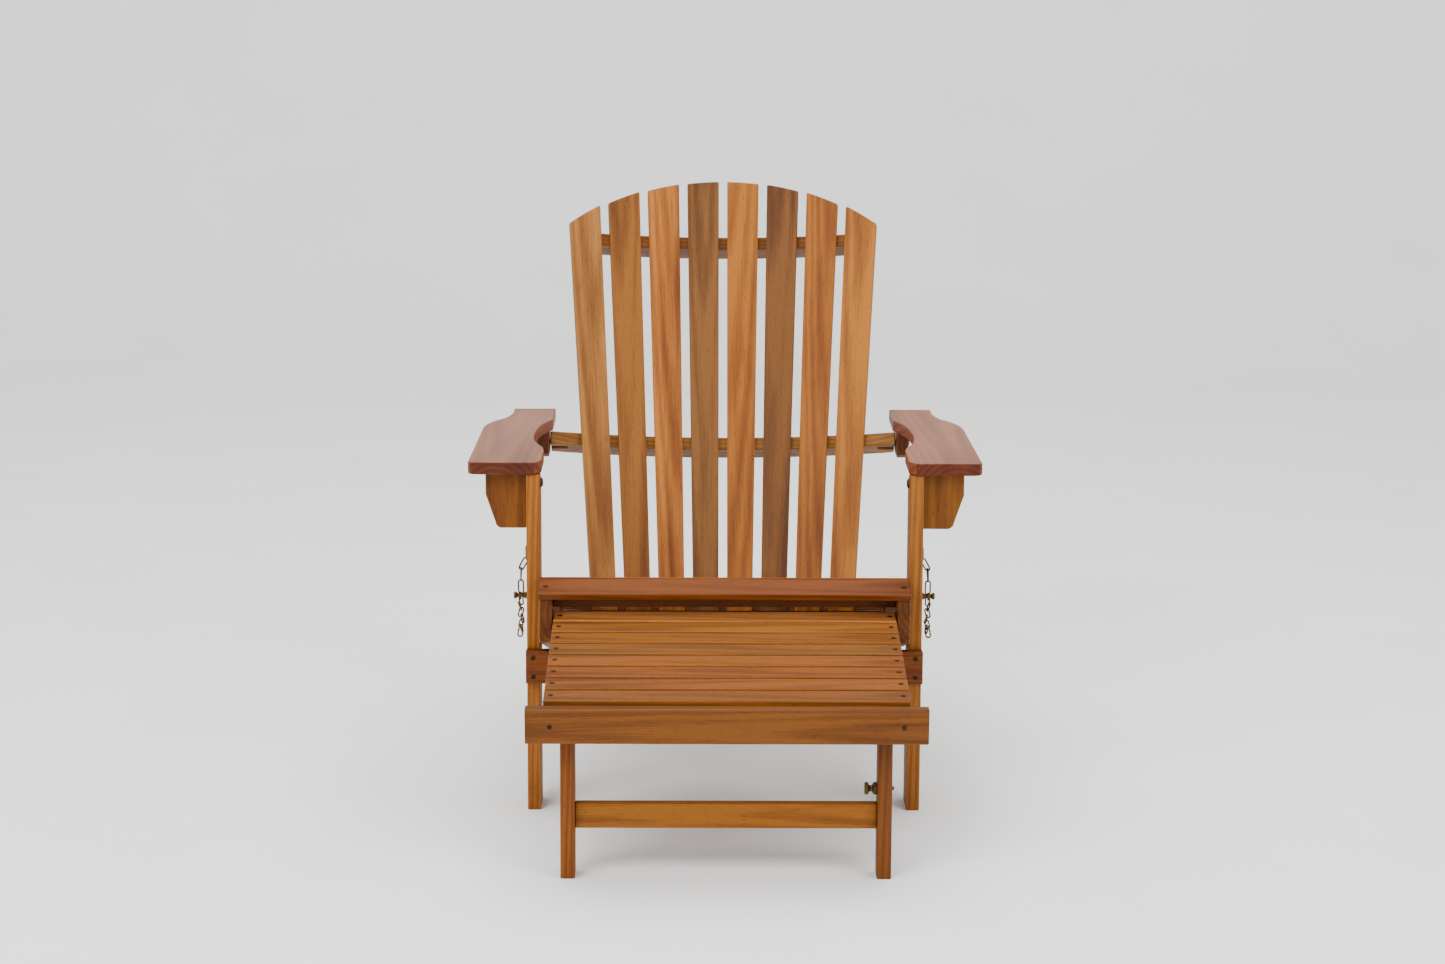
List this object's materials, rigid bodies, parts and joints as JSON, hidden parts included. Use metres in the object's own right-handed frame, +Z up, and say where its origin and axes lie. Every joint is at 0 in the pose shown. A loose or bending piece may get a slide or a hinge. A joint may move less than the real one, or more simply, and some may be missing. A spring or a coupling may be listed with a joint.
{
  "type": "adirondack chair",
  "caption": "Folding wooden garden armchair with a fan-shaped slatted back, broad arms and a slatted pull-out leg rest on folding legs.",
  "frame": {"origin": "on the ground under the middle of the whole chair with its leg rest pulled out", "axes": "+X to the sitter's left, +Y to the rear, +Z up"},
  "size_m": [0.7442, 1.2008, 0.8708],
  "materials": {
    "frame_wood": "oiled acacia, satin",
    "arm_wood": "oiled acacia, slightly weathered",
    "back_wood": "oiled acacia, satin",
    "rest_wood": "oiled acacia, satin",
    "screw_steel": "dark zinc-plated steel",
    "bolt_steel": "zinc-plated steel",
    "brass_plate": "yellow passivated zinc plate"
  },
  "bodies": {
    "seat_frame": {"side_rail_left": "frame_wood", "side_rail_right": "frame_wood", "seat_nose_slat": "frame_wood", "seat_slat_1": "frame_wood", "seat_slat_2": "frame_wood", "seat_slat_3": "frame_wood", "seat_slat_4": "frame_wood", "seat_slat_5": "frame_wood", "seat_front_brace": "frame_wood", "seat_rear_brace": "frame_wood", "seat_screws": "screw_steel"},
    "front_legs": {"front_leg_left": "frame_wood", "front_leg_right": "frame_wood", "front_crossbar": "frame_wood", "crossbar_screws": "screw_steel", "tether_chain_left": "brass_plate", "tether_chain_right": "brass_plate"},
    "arm_left": {"arm_left": "arm_wood", "arm_bracket_left": "arm_wood", "arm_cleat_left": "arm_wood", "arm_bolts_left": "bolt_steel"},
    "arm_right": {"arm_right": "arm_wood", "arm_bracket_right": "arm_wood", "arm_cleat_right": "arm_wood", "arm_bolts_right": "bolt_steel"},
    "back": {"back_slat_1": "back_wood", "back_slat_2": "back_wood", "back_slat_3": "back_wood", "back_slat_4": "back_wood", "back_slat_5": "back_wood", "back_slat_6": "back_wood", "back_slat_7": "back_wood", "back_slat_8": "back_wood", "back_top_batten": "back_wood", "back_arm_rail": "back_wood", "back_lower_rail": "back_wood", "back_screws": "screw_steel", "back_pivot_bolts": "bolt_steel"},
    "rest_guides": {"rest_guide_bolts": "bolt_steel"},
    "leg_rest": {"rest_rail_left": "rest_wood", "rest_rail_right": "rest_wood", "rest_slat_1": "rest_wood", "rest_slat_2": "rest_wood", "rest_slat_3": "rest_wood", "rest_slat_4": "rest_wood", "rest_slat_5": "rest_wood", "rest_slat_6": "rest_wood", "rest_slat_7": "rest_wood", "rest_slat_8": "rest_wood", "rest_front_board": "rest_wood", "rest_rear_brace": "rest_wood", "rest_screws": "screw_steel", "rest_leg_bolts": "bolt_steel"},
    "rest_legs": {"rest_leg_left": "rest_wood", "rest_leg_right": "rest_wood", "rest_leg_bar": "rest_wood"},
    "lock_pin_left": {"lock_pin_left": "brass_plate"},
    "lock_pin_right": {"lock_pin_right": "brass_plate"},
    "rest_pin": {"rest_pin": "brass_plate"}
  },
  "joints": [
    {"name": "back_fold", "type": "hinge", "parent": "seat_frame", "child": "back", "pos_m": [0, 0.1043, 0.236], "axis": [1, 0, 0], "range_deg": [0, 12]},
    {"name": "front_leg_fold", "type": "hinge", "parent": "seat_frame", "child": "front_legs", "pos_m": [0, -0.1667, 0.316], "axis": [1, 0, 0], "range_deg": [0, 18.2]},
    {"name": "arm_left_fold", "type": "hinge", "parent": "front_legs", "child": "arm_left", "pos_m": [0.3, -0.1667, 0.484], "axis": [1, 0, 0], "range_deg": [-14.6, 0]},
    {"name": "arm_right_fold", "type": "hinge", "parent": "front_legs", "child": "arm_right", "pos_m": [-0.3, -0.1667, 0.484], "axis": [1, 0, 0], "range_deg": [-14.6, 0]},
    {"name": "rest_tilt", "type": "hinge", "parent": "seat_frame", "child": "rest_guides", "pos_m": [0, -0.2087, 0.236], "axis": [-1, 0, 0], "range_deg": [0, 21.1]},
    {"name": "rest_slide", "type": "slide", "parent": "rest_guides", "child": "leg_rest", "axis": [0, 0.9945, 0.1045], "range_m": [0, 0.275]},
    {"name": "rest_leg_fold", "type": "hinge", "parent": "leg_rest", "child": "rest_legs", "pos_m": [0, -0.5207, 0.2344], "axis": [1, 0, 0], "range_deg": [0, 96]},
    {"name": "lock_pin_left_pull", "type": "slide", "parent": "front_legs", "child": "lock_pin_left", "axis": [1, 0, 0], "range_m": [0, 0.04]},
    {"name": "lock_pin_right_pull", "type": "slide", "parent": "front_legs", "child": "lock_pin_right", "axis": [-1, 0, 0], "range_m": [0, 0.04]},
    {"name": "rest_pin_pull", "type": "slide", "parent": "rest_legs", "child": "rest_pin", "axis": [-1, 0, 0], "range_m": [0, 0.026]}
  ],
  "couplings": [
    {"joint": "front_leg_fold", "follows": "back_fold", "ratio": 1.51},
    {"joint": "arm_left_fold", "follows": "back_fold", "ratio": -1.21},
    {"joint": "arm_right_fold", "follows": "back_fold", "ratio": -1.21},
    {"joint": "rest_tilt", "follows": "rest_slide", "rad_per_m": 1.3328}
  ]
}
